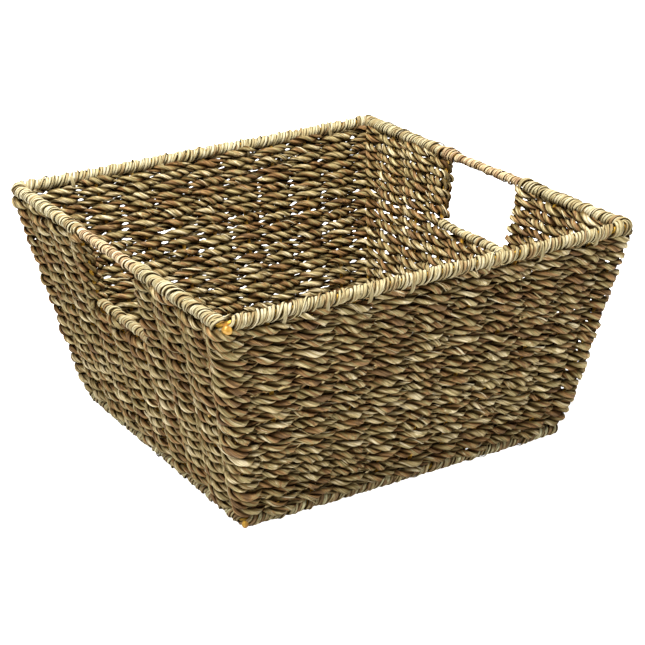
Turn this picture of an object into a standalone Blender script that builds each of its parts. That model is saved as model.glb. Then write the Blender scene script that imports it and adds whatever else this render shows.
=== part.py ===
"""Seagrass storage basket: a tapered, square-cornered basket woven round a welded wire frame.

Metres, +Z up. The origin is on the floor under the middle of the basket. +X and -X are the
two ends with the hand holes, -Y is the front and +Y the back. The walls lean out all round,
so every place on a wall is given by a post (where it is round the loop) and a level, which
is 0 on the base hoop's centreline and 1 on the rim's.
"""

import math

import bpy
from mathutils import Vector

# Driving dimensions: centrelines of the two hoops and the rise between them.
RIM_X = 0.3220
RIM_Y = 0.3484
HOOP_X = 0.2626
HOOP_Y = 0.2649
RISE = 0.1651
RIM_CORNER = 0.0055
HOOP_CORNER = 0.0060

# Wires, wraps and cord. _R is a radius, and GAP is the clearance between two pieces.
GAP = 0.0003
RIM_WIRE_R = 0.0024
HOOP_WIRE_R = 0.0021
STAKE_R = 0.0015
SILL_WIRE_R = 0.0016
RIM_WRAP_R = 0.0044
GRIP_WRAP_R = 0.0035
SILL_WRAP_R = 0.0033
HOOP_WRAP_R = 0.0040
CORD_R = 0.0016

# The frame's posts. A wall's stakes are evenly spaced between its corner posts.
WALL_STAKES = 9
END_OUTER_STAKES = 2
HAND_HOLE_HALF = 0.0515
SILL_DEPTH = 0.0575

# The weave: full loops under the hand holes, and two panels with hairpin turns beside them.
LOOP_ROWS = 24
PANEL_ROWS = 14
CLIMB_POSTS = 5
CORNER_SLACK = 1.8
FIRST_ROW_Z = 0.0139
FLOOR_Z = 0.0060
FLOOR_PITCH = 0.0100
FLOOR_END = 0.0115
CROSS_BEND = 0.2
BEND_STEPS = 5
CORNER_STEPS = 4

# Finish of each kind of piece: colour, roughness, metallic.
GOLD_WIRE = ("gold_wire", (0.70, 0.42, 0.07), 0.38, 0.6)
PALE_WRAP = ("pale_wrap", (0.50, 0.46, 0.27), 0.72, 0.0)
TAN_WRAP = ("tan_wrap", (0.42, 0.31, 0.16), 0.75, 0.0)
GREEN_CORD = ("green_cord", (0.34, 0.30, 0.14), 0.78, 0.0)
BROWN_CORD = ("brown_cord", (0.38, 0.25, 0.12), 0.78, 0.0)

# Bevel resolutions: a section of eight, six or four sides.
EIGHT_SIDES = 2
SIX_SIDES = 1
FOUR_SIDES = 0
FLAT_TURN = math.pi / 8

HOOP_Z = HOOP_WRAP_R
RIM_Z = HOOP_Z + RISE
END_SLANT = math.hypot(RISE, (RIM_X - HOOP_X) / 2)
CORD_OFFSET = STAKE_R + GAP + CORD_R
CORNER_OFFSET = CORD_OFFSET * CORNER_SLACK


def clear_scene():
    for old in list(bpy.data.objects):
        bpy.data.objects.remove(old, do_unlink=True)


def new_collection(name):
    collection = bpy.data.collections.new(name)
    bpy.context.scene.collection.children.link(collection)
    return collection


def make_material(finish):
    name, colour, roughness, metallic = finish
    found = bpy.data.materials.get(name)
    if found:
        return found
    made = bpy.data.materials.new(name)
    made.use_nodes = True
    shader = made.node_tree.nodes["Principled BSDF"]
    shader.inputs["Base Color"].default_value = (*colour, 1.0)
    shader.inputs["Roughness"].default_value = roughness
    shader.inputs["Metallic"].default_value = metallic
    made.diffuse_color = (*colour, 1.0)
    return made


# ---- where things are on the tapered walls -------------------------------------------------


def half_x(level):
    return (HOOP_X + (RIM_X - HOOP_X) * level) / 2


def half_y(level):
    return (HOOP_Y + (RIM_Y - HOOP_Y) * level) / 2


def height(level):
    return HOOP_Z + RISE * level


def corner_radius(level):
    return HOOP_CORNER + (RIM_CORNER - HOOP_CORNER) * level


def wall_normal(side):
    """Outward normal of a wall, or of the corner between two walls. side is (x, y), each -1, 0 or 1."""
    lean_x = (RIM_X - HOOP_X) / 2 / RISE
    lean_y = (RIM_Y - HOOP_Y) / 2 / RISE
    normal = Vector((0, 0, 0))
    if side[0]:
        normal += Vector((side[0], 0, -lean_x)).normalized()
    if side[1]:
        normal += Vector((0, side[1], -lean_y)).normalized()
    return normal.normalized()


class Post:
    """An upright of the frame: side says which wall or corner, share how far along it, -1 to 1."""

    def __init__(self, side, share=0.0):
        self.side = side
        self.share = share
        self.normal = wall_normal(side)

    def at(self, level):
        x = self.side[0] * half_x(level)
        y = self.side[1] * half_y(level)
        if self.side[0] and self.side[1]:
            inset = corner_radius(level) * (1 - math.sqrt(0.5))
            x -= self.side[0] * inset
            y -= self.side[1] * inset
        elif self.side[0]:
            y = self.share * half_y(level)
        else:
            x = self.share * half_x(level)
        return Vector((x, y, height(level)))

    def beside(self, level, out):
        """Where a cord passes this post, outside it for out = 1 and inside it for out = -1.

        Outside a corner post it stands further off, because it turns a right angle there.
        """
        turns = out > 0 and self.side[0] and self.side[1]
        offset = CORNER_OFFSET if turns else CORD_OFFSET
        return self.at(level) + self.normal * offset * out


def wall_shares():
    return [-1 + 2 * (i + 1) / (WALL_STAKES + 1) for i in range(WALL_STAKES)]


def end_shares():
    """The stakes of an end wall: two stand beside the hand hole, two under it, the rest outside."""
    hole = HAND_HOLE_HALF / (RIM_Y / 2)
    step = (1 - hole) / (END_OUTER_STAKES + 1)
    outer = [hole + step * i for i in range(END_OUTER_STAKES, 0, -1)]
    half = [*outer, hole, hole / 3]
    return [-share for share in half] + half[::-1]


def loop_posts():
    """Every post once round the basket, from the back right corner by the back, left and front."""
    back = [Post((0, 1), share) for share in reversed(wall_shares())]
    left = [Post((-1, 0), share) for share in reversed(end_shares())]
    front = [Post((0, -1), share) for share in wall_shares()]
    right = [Post((1, 0), share) for share in end_shares()]
    return [
        Post((1, 1)),
        *back,
        Post((-1, 1)),
        *left,
        Post((-1, -1)),
        *front,
        Post((1, -1)),
        *right,
    ]


def end_depth_level(depth):
    """The level this far under the rim, measured down an end wall."""
    return 1 - depth / END_SLANT


def row_levels():
    """Levels of the full loops, lowest first, then of the panel rows beside the hand holes."""
    lowest = (FIRST_ROW_Z - HOOP_Z) / RISE
    under_sill = end_depth_level(SILL_DEPTH + sleeve_edge(SILL_WRAP_R) + GAP + CORD_R)
    over_sill = end_depth_level(SILL_DEPTH - SILL_WIRE_R - 2 * GAP - CORD_R)
    highest = end_depth_level(sleeve_edge(RIM_WRAP_R) + GAP + CORD_R)
    loops = [
        lowest + (under_sill - lowest) * i / (LOOP_ROWS - 1) for i in range(LOOP_ROWS)
    ]
    short_row = (under_sill + over_sill) / 2
    panels = [
        over_sill + (highest - over_sill) * i / (PANEL_ROWS - 1)
        for i in range(PANEL_ROWS)
    ]
    return loops, [short_row, *panels]


# ---- shapes ---------------------------------------------------------------------------------


def place_curve(collection, name, points, radius, finish, sides, closed=False, tilt=0.0):
    """A wire or cord along points, as a POLY curve with a round bevel."""
    curve = bpy.data.curves.new(name, "CURVE")
    curve.dimensions = "3D"
    curve.twist_mode = "Z_UP"
    curve.bevel_depth = radius
    curve.bevel_resolution = sides
    curve.use_fill_caps = not closed
    spline = curve.splines.new("POLY")
    spline.points.add(len(points) - 1)
    for target, point in zip(spline.points, points):
        target.co = (*point, 1.0)
        target.tilt = tilt
    spline.use_cyclic_u = closed
    spline.use_smooth = True
    made = bpy.data.objects.new(name, curve)
    curve.materials.append(make_material(finish))
    collection.objects.link(made)
    return made


def sleeve_edge(radius):
    """How far the edges between an eight-sided sleeve's flats stand from its axis."""
    return radius / math.cos(FLAT_TURN)


def place_sleeve(collection, name, points, radius, bore, finish):
    """A wrap: a tube open at both ends, standing on one flat of its eight sides."""
    outer = sleeve_edge(radius)
    sleeve = place_curve(
        collection, name, points, outer, finish, EIGHT_SIDES, tilt=FLAT_TURN
    )
    sleeve.data.use_fill_caps = False
    wall = sleeve.modifiers.new("wall", "SOLIDIFY")
    wall.thickness = radius - bore
    wall.offset = -1
    wall.use_even_offset = True
    return sleeve


def corner_arc(side, level):
    """Points round one corner of a hoop, from the wall with x fixed to the one with y fixed."""
    radius = corner_radius(level)
    centre_x = half_x(level) - radius
    centre_y = half_y(level) - radius
    points = []
    for i in range(CORNER_STEPS + 1):
        angle = math.pi / 2 * i / CORNER_STEPS
        x = side[0] * (centre_x + radius * math.cos(angle))
        y = side[1] * (centre_y + radius * math.sin(angle))
        points.append(Vector((x, y, height(level))))
    return points


def hoop_points(level):
    """A whole hoop, once round."""
    points = []
    points += corner_arc((1, 1), level)
    points += reversed(corner_arc((-1, 1), level))
    points += corner_arc((-1, -1), level)
    points += reversed(corner_arc((1, -1), level))
    return points


def half_hoop_points(level, front, from_middle):
    """Half a hoop, from one end wall round the front (-1) or back (1) to the other end wall."""
    x, y, z = half_x(level), front * from_middle, height(level)
    points = [Vector((-x, y, z))]
    points += corner_arc((-1, front), level)
    points += reversed(corner_arc((1, front), level))
    points.append(Vector((x, y, z)))
    return points


# ---- the wire frame -------------------------------------------------------------------------


def make_hoops(parts):
    place_curve(parts, "rim_wire", hoop_points(1), RIM_WIRE_R, GOLD_WIRE, EIGHT_SIDES, True)
    place_curve(parts, "base_hoop", hoop_points(0), HOOP_WIRE_R, GOLD_WIRE, EIGHT_SIDES, True)


def post_span(post):
    """The lowest and highest level of a post that stands between the two wrapped hoops."""
    slant = (post.at(1) - post.at(0)).length
    low = sleeve_edge(HOOP_WRAP_R) + GAP
    high = sleeve_edge(RIM_WRAP_R) + GAP
    return low / slant, 1 - high / slant


def make_upright(parts, name, post):
    low, high = post_span(post)
    place_curve(parts, name, [post.at(low), post.at(high)], STAKE_R, GOLD_WIRE, EIGHT_SIDES)


def cross_wire_points(share):
    """A front stake, a wire across the base and a back stake, bent from one length of wire.

    Above the hoop the wire swings in and down, so that it passes inside the wrapped hoop.
    """
    front = Post((0, -1), share)
    high = post_span(front)[1]
    foot_level = (FIRST_ROW_Z - HOOP_Z) / RISE
    foot = front.at(foot_level)
    down = (front.at(0) - front.at(1)).normalized()
    landing = Vector((share * HOOP_X / 2, -HOOP_Y / 2 + FLOOR_END + STAKE_R, FLOOR_Z))
    reach = (landing - foot).length * CROSS_BEND
    first = foot + down * reach
    second = landing - Vector((0, reach, 0))
    half = [front.at(high)]
    for i in range(BEND_STEPS + 1):
        t = i / BEND_STEPS
        half.append(
            foot * (1 - t) ** 3
            + first * 3 * t * (1 - t) ** 2
            + second * 3 * t * t * (1 - t)
            + landing * t**3
        )
    back = [Vector((p.x, -p.y, p.z)) for p in reversed(half)]
    return half + back


def make_cross_wires(parts):
    for number, share in enumerate(wall_shares(), 1):
        place_curve(
            parts,
            f"cross_wire_{number}",
            cross_wire_points(share),
            STAKE_R,
            GOLD_WIRE,
            SIX_SIDES,
        )


def make_uprights(parts):
    corners = {
        "front_left": (-1, -1),
        "front_right": (1, -1),
        "back_left": (-1, 1),
        "back_right": (1, 1),
    }
    for name, side in corners.items():
        make_upright(parts, f"corner_post_{name}", Post(side))
    stake_names = ["outer", "inner", "hand_hole", "under_sill"]
    for end_name, end in (("left", -1), ("right", 1)):
        shares = end_shares()
        for i, share in enumerate(shares):
            half_name = "front" if share < 0 else "back"
            kind = stake_names[min(i, len(shares) - 1 - i)]
            name = f"{end_name}_{half_name}_{kind}_stake"
            post = Post((end, 0), share)
            if kind == "under_sill":
                make_short_stake(parts, name, post)
            else:
                make_upright(parts, name, post)


def make_short_stake(parts, name, post):
    """A stake that ends under the wrapped sill of the hand hole."""
    low = post_span(post)[0]
    high = end_depth_level(SILL_DEPTH + sleeve_edge(SILL_WRAP_R) + GAP)
    place_curve(parts, name, [post.at(low), post.at(high)], STAKE_R, GOLD_WIRE, EIGHT_SIDES)


def sill_points(end, half_length):
    level = end_depth_level(SILL_DEPTH)
    x = end * half_x(level)
    return [Vector((x, y, height(level))) for y in (-half_length, half_length)]


def make_sills(parts):
    """The wire across the bottom of each hand hole, and its wrap."""
    level = end_depth_level(SILL_DEPTH)
    stake_y = HAND_HOLE_HALF / (RIM_Y / 2) * half_y(level)
    wire_half = stake_y - STAKE_R - GAP
    wrap_half = stake_y - CORD_OFFSET - CORD_R - GAP
    for name, end in (("left", -1), ("right", 1)):
        wire = sill_points(end, wire_half)
        wrap = sill_points(end, wrap_half)
        place_curve(parts, f"{name}_sill_wire", wire, SILL_WIRE_R, GOLD_WIRE, EIGHT_SIDES)
        place_sleeve(
            parts,
            f"{name}_sill_wrap",
            wrap,
            SILL_WRAP_R,
            SILL_WIRE_R + GAP,
            PALE_WRAP,
        )


# ---- the wraps ------------------------------------------------------------------------------


def make_rim_wraps(parts):
    """Thick wraps over the front and back of the rim, and thin ones on the two grips between."""
    for name, front in (("front", -1), ("back", 1)):
        points = half_hoop_points(1, front, HAND_HOLE_HALF)
        place_sleeve(
            parts,
            f"{name}_rim_wrap",
            points,
            RIM_WRAP_R,
            RIM_WIRE_R + GAP,
            PALE_WRAP,
        )
    grip_half = HAND_HOLE_HALF - GAP
    for name, end in (("left", -1), ("right", 1)):
        x = end * half_x(1)
        points = [Vector((x, y, RIM_Z)) for y in (-grip_half, grip_half)]
        place_sleeve(
            parts,
            f"{name}_grip_wrap",
            points,
            GRIP_WRAP_R,
            RIM_WIRE_R + GAP,
            TAN_WRAP,
        )


def make_hoop_wraps(parts):
    """The base hoop's wrap, in a front and a back half. Its flat underside is what it rests on."""
    for name, front in (("front", -1), ("back", 1)):
        points = half_hoop_points(0, front, GAP)
        place_sleeve(
            parts,
            f"{name}_base_wrap",
            points,
            HOOP_WRAP_R,
            HOOP_WIRE_R + GAP,
            TAN_WRAP,
        )


# ---- the weave ------------------------------------------------------------------------------


def side_of(post_number, row):
    """Plain weave: outside one post and inside the next, and the other way on the next row."""
    return 1 if (post_number + row) % 2 == 0 else -1


def loop_strand_points(posts, levels, first_row):
    """One of the two cords that chase each other round the basket below the hand holes.

    Over the last posts of each loop it climbs two rows, so its last loop ends before them.
    """
    pitch = levels[1] - levels[0]
    climb_from = len(posts) - CLIMB_POSTS
    points = []
    for row in range(first_row, len(levels), 2):
        is_last = row + 2 >= len(levels)
        for number, post in enumerate(posts[: climb_from + 1] if is_last else posts):
            climbed = max(0, number - climb_from) / CLIMB_POSTS
            level = levels[row] + 2 * pitch * climbed
            points.append(post.beside(level, side_of(number, row)))
    return points


def hairpin(before, post, out, level, next_level):
    """The two bends of a cord that goes on past this post and turns back on its other side."""
    climb = (next_level - level) / 3
    onward = (post.at(level) - before.at(level)).normalized() * CORD_OFFSET
    return [
        post.beside(level + climb, out) + onward,
        post.beside(next_level - climb, -out) + onward,
    ]


def panel_strand_points(posts, first_number, levels):
    """One cord to and fro across the front or back panel, turning round the hand hole stakes.

    The lowest row stops one post short at both ends, because the sill is fixed to the hand
    hole stakes there, so the row above it starts from that post.
    """
    points = []
    for step, level in enumerate(levels):
        order = list(range(len(posts)))
        if step == 0:
            order = order[1:-1]
        elif step == 1:
            order = order[1:]
        if step % 2 == 0:
            order.reverse()
        for i in order:
            out = side_of(first_number + i, LOOP_ROWS + step)
            points.append(posts[i].beside(level, out))
        if step < len(levels) - 1:
            points += hairpin(posts[order[-2]], posts[order[-1]], out, level, levels[step + 1])
    return points


def make_wall_weave(parts):
    posts = loop_posts()
    loops, panels = row_levels()
    for name, first_row, finish in (
        ("loop_cord_a", 0, GREEN_CORD),
        ("loop_cord_b", 1, BROWN_CORD),
    ):
        points = loop_strand_points(posts, loops, first_row)
        place_curve(parts, name, points, CORD_R, finish, FOUR_SIDES)
    beside_hole = END_OUTER_STAKES + 1
    panel_posts = WALL_STAKES + 2 * (1 + beside_hole)
    front_corner = 1 + WALL_STAKES + 1 + len(end_shares())
    starts = {"front": front_corner - beside_hole}
    starts["back"] = starts["front"] + len(posts) // 2
    for name, start in starts.items():
        chosen = (posts + posts)[start : start + panel_posts]
        points = panel_strand_points(chosen, start, panels)
        place_curve(parts, f"{name}_panel_cord", points, CORD_R, GREEN_CORD, FOUR_SIDES)


def make_floor_weave(parts):
    """One cord to and fro across the base, over one cross wire and under the next."""
    reach_y = HOOP_Y / 2 - FLOOR_END - 2 * CORD_OFFSET
    turn = FLOOR_PITCH / 2
    turn_x = HOOP_X / 2 - sleeve_edge(HOOP_WRAP_R) - GAP - CORD_R - turn
    rows = 1 + int(2 * reach_y / FLOOR_PITCH)
    first_y = -(rows - 1) * FLOOR_PITCH / 2
    wires = [share * HOOP_X / 2 for share in wall_shares()]
    points = []
    for row in range(rows):
        y = first_y + row * FLOOR_PITCH
        forward = row % 2 == 0
        order = range(WALL_STAKES) if forward else range(WALL_STAKES - 1, -1, -1)
        for i in order:
            points.append(Vector((wires[i], y, FLOOR_Z + side_of(i, row) * CORD_OFFSET)))
        if row < rows - 1:
            end = 1 if forward else -1
            points.append(Vector((end * turn_x, y, FLOOR_Z)))
            points.append(Vector((end * (turn_x + turn), y + turn, FLOOR_Z)))
            points.append(Vector((end * turn_x, y + FLOOR_PITCH, FLOOR_Z)))
    place_curve(parts, "floor_cord", points, CORD_R, BROWN_CORD, FOUR_SIDES)


def make_basket():
    clear_scene()
    parts = new_collection("seagrass_basket")
    make_hoops(parts)
    make_uprights(parts)
    make_cross_wires(parts)
    make_sills(parts)
    make_rim_wraps(parts)
    make_hoop_wraps(parts)
    make_wall_weave(parts)
    make_floor_weave(parts)


make_basket()
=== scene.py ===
"""The looks of the seagrass storage basket: two-ply rope woven round a lacquered wire frame.

Metres, +Z up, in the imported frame. A place on the walls is given by a turn, which counts the
frame's posts round the basket from the back right corner by the back, left and front, and by
a level, which is 0 on the base hoop's centreline and 1 on the rim's. An offset is how far a
strand stands out from the walls' middle surface, where the posts are.
"""

import math
import bpy
import numpy as np
from mathutils import Matrix, Vector, noise


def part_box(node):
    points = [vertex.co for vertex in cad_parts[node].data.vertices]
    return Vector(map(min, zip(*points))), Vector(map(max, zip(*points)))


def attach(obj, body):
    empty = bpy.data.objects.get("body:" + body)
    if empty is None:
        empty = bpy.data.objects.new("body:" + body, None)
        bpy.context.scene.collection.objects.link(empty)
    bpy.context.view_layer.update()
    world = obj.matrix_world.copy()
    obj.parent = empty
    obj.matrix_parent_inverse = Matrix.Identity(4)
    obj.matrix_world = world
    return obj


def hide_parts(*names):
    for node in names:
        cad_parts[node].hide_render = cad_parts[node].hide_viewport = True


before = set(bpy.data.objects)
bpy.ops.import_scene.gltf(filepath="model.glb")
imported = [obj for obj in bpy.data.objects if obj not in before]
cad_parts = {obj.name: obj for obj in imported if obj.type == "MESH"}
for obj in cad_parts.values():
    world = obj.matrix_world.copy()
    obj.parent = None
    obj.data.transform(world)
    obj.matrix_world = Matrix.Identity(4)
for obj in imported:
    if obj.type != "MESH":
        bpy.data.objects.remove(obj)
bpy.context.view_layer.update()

# ---- what the frame says ----

END_STAKES = ("outer", "inner", "hand_hole", "under_sill")

# The corner radii of the hoops' centrelines, which their boxes don't give.
RIM_CORNER = 0.0055
HOOP_CORNER = 0.0060


def hoop_measures(node):
    """Half length in X and Y, height and wire radius of a hoop's centreline."""
    low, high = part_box(node)
    wire = (high.z - low.z) / 2
    return (high.x - low.x) / 2 - wire, (high.y - low.y) / 2 - wire, (low.z + high.z) / 2, wire


RIM_HALF_X, RIM_HALF_Y, RIM_Z, RIM_WIRE = hoop_measures("rim_wire")
HOOP_HALF_X, HOOP_HALF_Y, HOOP_Z, HOOP_WIRE = hoop_measures("base_hoop")
RISE = RIM_Z - HOOP_Z
FRONT_SLANT = math.hypot(RISE, RIM_HALF_Y - HOOP_HALF_Y)


def half_x(level):
    return HOOP_HALF_X + (RIM_HALF_X - HOOP_HALF_X) * level


def half_y(level):
    return HOOP_HALF_Y + (RIM_HALF_Y - HOOP_HALF_Y) * level


def height(level):
    return HOOP_Z + RISE * level


def corner_radius(level):
    return HOOP_CORNER + (RIM_CORNER - HOOP_CORNER) * level


def level_at(z):
    return (z - HOOP_Z) / RISE


def middle_of(node):
    low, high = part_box(node)
    return (low + high) / 2


def radius_of(node):
    low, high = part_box(node)
    return (high.z - low.z) / 2


MIDDLE_WIRE = [n for n in sorted(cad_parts) if n.startswith("cross_wire_")]
STAKE = min(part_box(n)[1].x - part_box(n)[0].x for n in MIDDLE_WIRE) / 2


def post_share(node, axis, half_at):
    """How far along its wall a post stands, -1 to 1, from where its top end is."""
    low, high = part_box(node)
    reach = half_at(level_at(high.z))
    if abs(low[axis]) > abs(high[axis]):
        return (low[axis] + STAKE) / reach
    return (high[axis] - STAKE) / reach


WALL_SHARES = sorted(post_share(n, 0, half_x) for n in MIDDLE_WIRE)
END_HALF = [post_share(f"left_back_{kind}_stake", 1, half_y) for kind in END_STAKES]
END_SHARES = [-share for share in END_HALF] + END_HALF[::-1]
HOLE_SHARE = END_HALF[END_STAKES.index("hand_hole")]

# From a hand hole to the rim's corner, along the rim.
RIM_END = RIM_HALF_Y * (1 - abs(HOLE_SHARE))

# The four walls in the order of travel: the way on, the way out, and where the posts stand.
WALLS = (
    ((-1, 0), (0, 1), WALL_SHARES),
    ((0, -1), (-1, 0), END_SHARES),
    ((1, 0), (0, -1), WALL_SHARES),
    ((0, 1), (1, 0), END_SHARES),
)
CORNERS = np.cumsum([0] + [len(shares) + 1 for _, _, shares in WALLS])
BACK_LEFT, FRONT_LEFT, FRONT_RIGHT, POSTS = (int(corner) for corner in CORNERS[1:])
HOLE_STEPS = END_STAKES.index("hand_hole") + 1

# The turns of the hand hole stakes: at the ends of the panels, and at the sides of each hole.
PANEL_SPANS = {
    "front": (FRONT_LEFT - HOLE_STEPS, FRONT_RIGHT + HOLE_STEPS),
    "back": (POSTS - HOLE_STEPS, POSTS + BACK_LEFT + HOLE_STEPS),
}
HOLE_SPANS = {
    "left": (BACK_LEFT + HOLE_STEPS, FRONT_LEFT - HOLE_STEPS),
    "right": (FRONT_RIGHT + HOLE_STEPS, POSTS - HOLE_STEPS),
}

SILL_LEVEL = level_at(middle_of("left_sill_wire").z)
SILL_WIRE = radius_of("left_sill_wire")
SILL_WRAP = radius_of("left_sill_wrap")
RIM_WRAP = radius_of("front_rim_wrap")
HOOP_WRAP = radius_of("front_base_wrap")

# ---- the weave's own sizes ----

# A ply: its half depth and half width, and its distance from the rope's middle.
PLY_DEEP = 0.00172
PLY_WIDE = 0.00182
PLY_APART = 0.00148
ROPE_HALF = PLY_APART + PLY_DEEP

# How many ridges the blades make round a ply, coarse and fine, and how high they are.
COARSE_RIDGES = 3
COARSE_RIDGE = 0.09
FINE_RIDGES = 5
FINE_RIDGE = 0.05

# Length of one whole twist, and how far the rope's middle stands out from a post's.
LAY = 0.0262
OUT = STAKE + 0.0026

# Points of a path to each post, length between the rings of a strand's mesh, and corners in
# the ring of a ply, a winding's bundle and a loose blade.
FINE = 60
STEP = 0.0011
SIDES = 14
WRAP_SIDES = 12
BLADE_SIDES = 6

# A loose blade: rope to each one, its length in rings, half its width and thickness, how deep
# it lies in the rope's surface, how far it strays from the plies' twist in radians, how far its
# end stands off, how far and how often a stray one's does, and how low it may lie.
BLADE_SPACING = 0.015
BLADE_RINGS = (8, 26)
BLADE_HALF_WIDE = (0.00015, 0.0008)
BLADE_HALF_THICK = 0.00018
BLADE_SUNK = 0.0003
BLADE_SKEW = 0.5
BLADE_LIFT = (0.0002, 0.0013)
STRAY_LIFT = (0.0002, 0.0034)
STRAY_SHARE = 0.15
LEAST_HEIGHT = 0.0008

# Rows under the hand holes and beside them, and rows that rise and fall together.
LOOP_ROWS = 25
PANEL_ROWS = 15
ROWS_ALIKE = 5

# Half a row's height, and how much of it parts the end rows from the base and the rim.
HALF_ROW = 0.0022
LOWEST_SHARE = 0.8
HIGHEST_SHARE = 0.3

# Height of a rope, as a share of its free height, at a post, where it turns round a stake,
# and what a corner adds. The power sets how fast it grows from a crossing to a post.
FULLEST = 1.28
TURN_FULLNESS = 1.2
CORNER_PLUMP = 0.08
FULLNESS_POWER = 0.8

# How far a row presses into the rows next to it where they cross.
PRESSED_IN = 0.0001

# How far a rope bulges out at a corner: the least, and what chance adds at most.
LEAST_BULGE = 0.0003
CHANCE_BULGE = 0.0016

# How many posts further a rope goes as it turns round a stake.
TURN_ROUND = 0.03

# How far the lowest rows are tucked in at the corners, and below which level.
TUCK = 0.0032
LOW_ROWS = 0.16

# How the ropes are shared out between meshes: loops in one, and a ply's most rings in one.
LOOPS_A_PIECE = 2
MOST_RINGS = 3300

# The unevenness of handwork: the size of each change, and the points from one to the next.
TWIST_CHANGE = (0.26, 40)
BULK_CHANGE = (0.07, 60)
PLY_TURN_CHANGE = (0.16, 14)
PLY_SIZE_CHANGE = (0.09, 14)
PLY_LUMP_CHANGE = (0.05, 6)
PLY_APART_CHANGE = (0.12, 20)
COARSE_RIDGE_CHANGE = (1.6, 24)
FINE_RIDGE_CHANGE = (1, 25)
PLY_TONE_CHANGE = (0.35, 45)
PLY_PATCH_CHANGE = (0.3, 12)
SWING_CHANGE = (0.07, 24)
LIFT_CHANGE = (0.0004, 40)
SHARED_CHANGE = (0.0009, 110)
FLOOR_CHANGE = (0.0003, 40)
BUNDLE_THICK_CHANGE = (0.15, 9)
BUNDLE_WIDE_CHANGE = (0.14, 12)
BUNDLE_STAND_CHANGE = (0.0001, 7)
BUNDLE_RIDGE_CHANGE = (1.5, 20)
BUNDLE_TONE_CHANGE = (0.5, 20)

SEED = 7
KINDS = ("row", "panel", "floor", "rim", "grip", "sill", "base", "shared", "tie")


def draws(kind, number=0):
    """A piece's own chance draws, the same every run."""
    return np.random.default_rng([SEED, 100 * KINDS.index(kind) + number])


def on_walls(turn, level):
    """Points on the walls' middle surface, and the way out of the wall there."""
    turn = np.mod(turn, POSTS)
    level = np.broadcast_to(level, turn.shape)
    radius = corner_radius(level)
    place = np.zeros((len(turn), 3))
    out = np.zeros((len(turn), 3))
    place[:, 2] = height(level)
    for quarter, (travel, outward, shares) in enumerate(WALLS):
        here = (turn >= CORNERS[quarter]) & (turn < CORNERS[quarter + 1])
        along_x = travel[0] != 0
        along = (half_x if along_x else half_y)(level[here])
        across = (half_y if along_x else half_x)(level[here])
        lean = (RIM_HALF_Y - HOOP_HALF_Y if along_x else RIM_HALF_X - HOOP_HALF_X) / RISE
        arc = radius[here]
        end = along - arc + arc * math.pi / 4
        stops = np.array([0.0, *shares, 0.0])[:, None] * along
        stops[0] = -end
        stops[-1] = end
        local = turn[here] - CORNERS[quarter]
        before = local.astype(int)
        part = local - before
        column = np.arange(len(local))
        travelled = stops[before, column] * (1 - part) + stops[before + 1, column] * part
        beyond = np.maximum(np.abs(travelled) - (along - arc), 0) / arc
        straight = np.minimum(np.abs(travelled), along - arc)
        forward = np.sign(travelled) * (straight + arc * np.sin(beyond))
        sideways = across - arc + arc * np.cos(beyond)
        tip = np.sign(travelled) * np.sin(beyond)
        for axis in (0, 1):
            place[here, axis] = travel[axis] * forward + outward[axis] * sideways
            out[here, axis] = travel[axis] * tip + outward[axis] * np.cos(beyond)
        out[here, 2] = -lean
    return place, unit(out)


def unit(vectors):
    return vectors / np.linalg.norm(vectors, axis=-1, keepdims=True)


def square_to(vectors, onward):
    """The part of each vector that is at right angles to onward, with length 1."""
    return unit(vectors - np.sum(vectors * onward, 1, keepdims=True) * onward)


def along_path(wanted, length, values):
    """Values given at these lengths along a path, at the wanted lengths."""
    return np.stack([np.interp(wanted, length, values[:, k]) for k in range(3)], 1)


def travelled_length(points):
    steps = np.linalg.norm(np.diff(points, axis=0), axis=1)
    return np.concatenate([[0.0], np.cumsum(steps)])


def resample(*path, closed=False):
    """A path's points, its way out and any numbers that go with them, at even steps."""
    if closed:
        path = [np.concatenate([part, part[:1]]) for part in path]
    points, out, *numbers = path
    length = travelled_length(points)
    count = max(4, int(round(length[-1] / STEP)))
    wanted = np.linspace(0, length[-1], count, endpoint=not closed)
    numbers = [np.interp(wanted, length, part) for part in numbers]
    return along_path(wanted, length, points), unit(along_path(wanted, length, out)), *numbers


def wander(count, spacing, rng):
    """Smooth random values that come back to where they began, about 1 in size."""
    knots = max(3, int(round(count / spacing)))
    values = rng.standard_normal(knots)
    at = np.arange(count) * knots / count
    before = at.astype(int)
    part = at - before
    part = part * part * (3 - 2 * part)
    return values[before % knots] * (1 - part) + values[(before + 1) % knots] * part


def uneven(count, change, rng):
    """A smooth random change along a path, given as its size and the points between changes."""
    size, spacing = change
    return size * wander(count, spacing, rng)


def share(value, none, whole):
    """0 up to one value, 1 from the other, and even in between."""
    return np.clip((value - none) / (whole - none), 0, 1)


def ring_angles(sides):
    return np.linspace(0, 2 * math.pi, sides, endpoint=False)[None, :]


def tube(middle, first, first_part, second, second_part):
    """Rings of points round a path, from two axes and the points' parts along them."""
    rings = middle[:, None, :] + first[:, None, :] * first_part[..., None]
    return rings + second[:, None, :] * second_part[..., None]


# ---- meshes made of strands ----


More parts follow.
